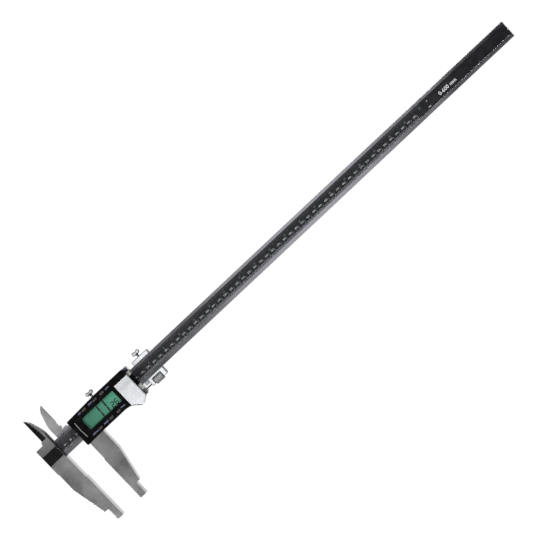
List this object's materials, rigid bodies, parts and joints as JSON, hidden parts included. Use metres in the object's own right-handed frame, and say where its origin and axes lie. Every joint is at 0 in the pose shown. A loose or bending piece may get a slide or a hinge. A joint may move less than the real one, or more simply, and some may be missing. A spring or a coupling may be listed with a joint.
{
  "type": "long jaw digital caliper",
  "caption": "Long jaw digital caliper with a sliding display head, knife-edged inside jaws and a fine-adjustment carriage",
  "frame": {"origin": "On the flat back of the fixed jaw, at the middle of its head, under the centre line of the beam", "axes": "+X runs along the beam from the fixed jaw to the free end, +Y runs across the beam from the long outside jaws to the small inside jaws, +Z points out of the display"},
  "size_m": [0.7802, 0.167, 0.0207],
  "materials": {
    "jaw_steel": "satin ground stainless steel",
    "beam_steel": "ground stainless steel",
    "bright_steel": "bright satin stainless steel",
    "screw_steel": "bright plated steel",
    "scale_film": "dark grey printed film",
    "black_plate": "black badge plate",
    "circuit_board": "green glass-epoxy board",
    "black_plastic": "glossy black moulded plastic",
    "silver_plastic": "silver moulded plastic",
    "white_trim": "pale inlaid line",
    "grey_key": "soft grey key top",
    "display_green": "green-grey display glass",
    "display_lens": "clear flat lens",
    "contact_rubber": "conductive rubber strip",
    "spring_metal": "spring bronze"
  },
  "bodies": {
    "beam": {"beam": "beam_steel", "scale_grating": "circuit_board", "scale_film": "scale_film", "end_stop": "beam_steel", "end_stop_screws": "screw_steel", "fixed_jaw": "jaw_steel", "jaw_rivets": "screw_steel", "jaw_plate": "black_plate"},
    "slider": {"movable_jaw": "jaw_steel", "slider_gib": "spring_metal", "gib_screws": "screw_steel", "case_screws": "screw_steel", "case_base": "black_plastic", "sensor_board": "circuit_board", "board_connector": "black_plastic", "main_board": "circuit_board", "display_housing": "black_plastic", "trim_line": "white_trim", "lcd_glass": "display_green", "lcd_lens": "display_lens", "lcd_connector_strips": "contact_rubber", "key_domes": "spring_metal", "battery": "bright_steel", "battery_spring": "spring_metal", "battery_clip": "spring_metal", "feed_screw": "screw_steel", "anchor_screw": "screw_steel"},
    "power_key": {"power_key": "grey_key"},
    "zero_key": {"zero_key": "grey_key"},
    "unit_key": {"unit_key": "grey_key"},
    "absolute_key": {"absolute_key": "grey_key"},
    "preset_key": {"preset_key": "grey_key"},
    "hold_key": {"hold_key": "grey_key"},
    "battery_cover": {"battery_cover": "silver_plastic"},
    "lock_screw": {"lock_screw": "screw_steel"},
    "carriage": {"adjusting_carriage": "bright_steel", "carriage_gib": "spring_metal"},
    "carriage_lock_screw": {"carriage_lock_screw": "screw_steel"},
    "adjusting_nut": {"adjusting_nut": "screw_steel"}
  },
  "joints": [
    {"name": "slider_travel", "type": "slide", "parent": "beam", "child": "slider", "axis": [1, 0, 0], "range_m": [-0.02988, 0.5701]},
    {"name": "power_key_press", "type": "slide", "parent": "slider", "child": "power_key", "axis": [0, 0, -1], "range_m": [0, 0.0004], "stiffness_N_per_m": 1500, "springref_m": -0.0004},
    {"name": "zero_key_press", "type": "slide", "parent": "slider", "child": "zero_key", "axis": [0, 0, -1], "range_m": [0, 0.0004], "stiffness_N_per_m": 1500, "springref_m": -0.0004},
    {"name": "unit_key_press", "type": "slide", "parent": "slider", "child": "unit_key", "axis": [0, 0, -1], "range_m": [0, 0.0004], "stiffness_N_per_m": 1500, "springref_m": -0.0004},
    {"name": "absolute_key_press", "type": "slide", "parent": "slider", "child": "absolute_key", "axis": [0, 0, -1], "range_m": [0, 0.0004], "stiffness_N_per_m": 1500, "springref_m": -0.0004},
    {"name": "preset_key_press", "type": "slide", "parent": "slider", "child": "preset_key", "axis": [0, 0, -1], "range_m": [0, 0.0004], "stiffness_N_per_m": 1500, "springref_m": -0.0004},
    {"name": "hold_key_press", "type": "slide", "parent": "slider", "child": "hold_key", "axis": [0, 0, -1], "range_m": [0, 0.0004], "stiffness_N_per_m": 1500, "springref_m": -0.0004},
    {"name": "battery_cover_slide", "type": "slide", "parent": "slider", "child": "battery_cover", "axis": [1, 0, 0], "range_m": [0, 0.024]},
    {"name": "lock_screw_turn", "type": "hinge", "parent": "slider", "child": "lock_screw", "pos_m": [0.08367, 0.0136, 0.0055], "axis": [0, 1, 0], "range_deg": [-180, 180]},
    {"name": "carriage_travel", "type": "slide", "parent": "slider", "child": "carriage", "axis": [1, 0, 0], "range_m": [-0.0024, 0.004]},
    {"name": "carriage_lock_screw_turn", "type": "hinge", "parent": "carriage", "child": "carriage_lock_screw", "pos_m": [0.1589, 0.0134, 0.0055], "axis": [0, 1, 0], "range_deg": [-180, 180]},
    {"name": "adjusting_nut_turn", "type": "hinge", "parent": "carriage", "child": "adjusting_nut", "pos_m": [0.1592, -0.0193, 0.0056], "axis": [1, 0, 0], "range_deg": [-1728, 2880]}
  ],
  "couplings": [
    {"joint": "adjusting_nut_turn", "follows": "carriage_travel", "rad_per_m": 12566}
  ]
}
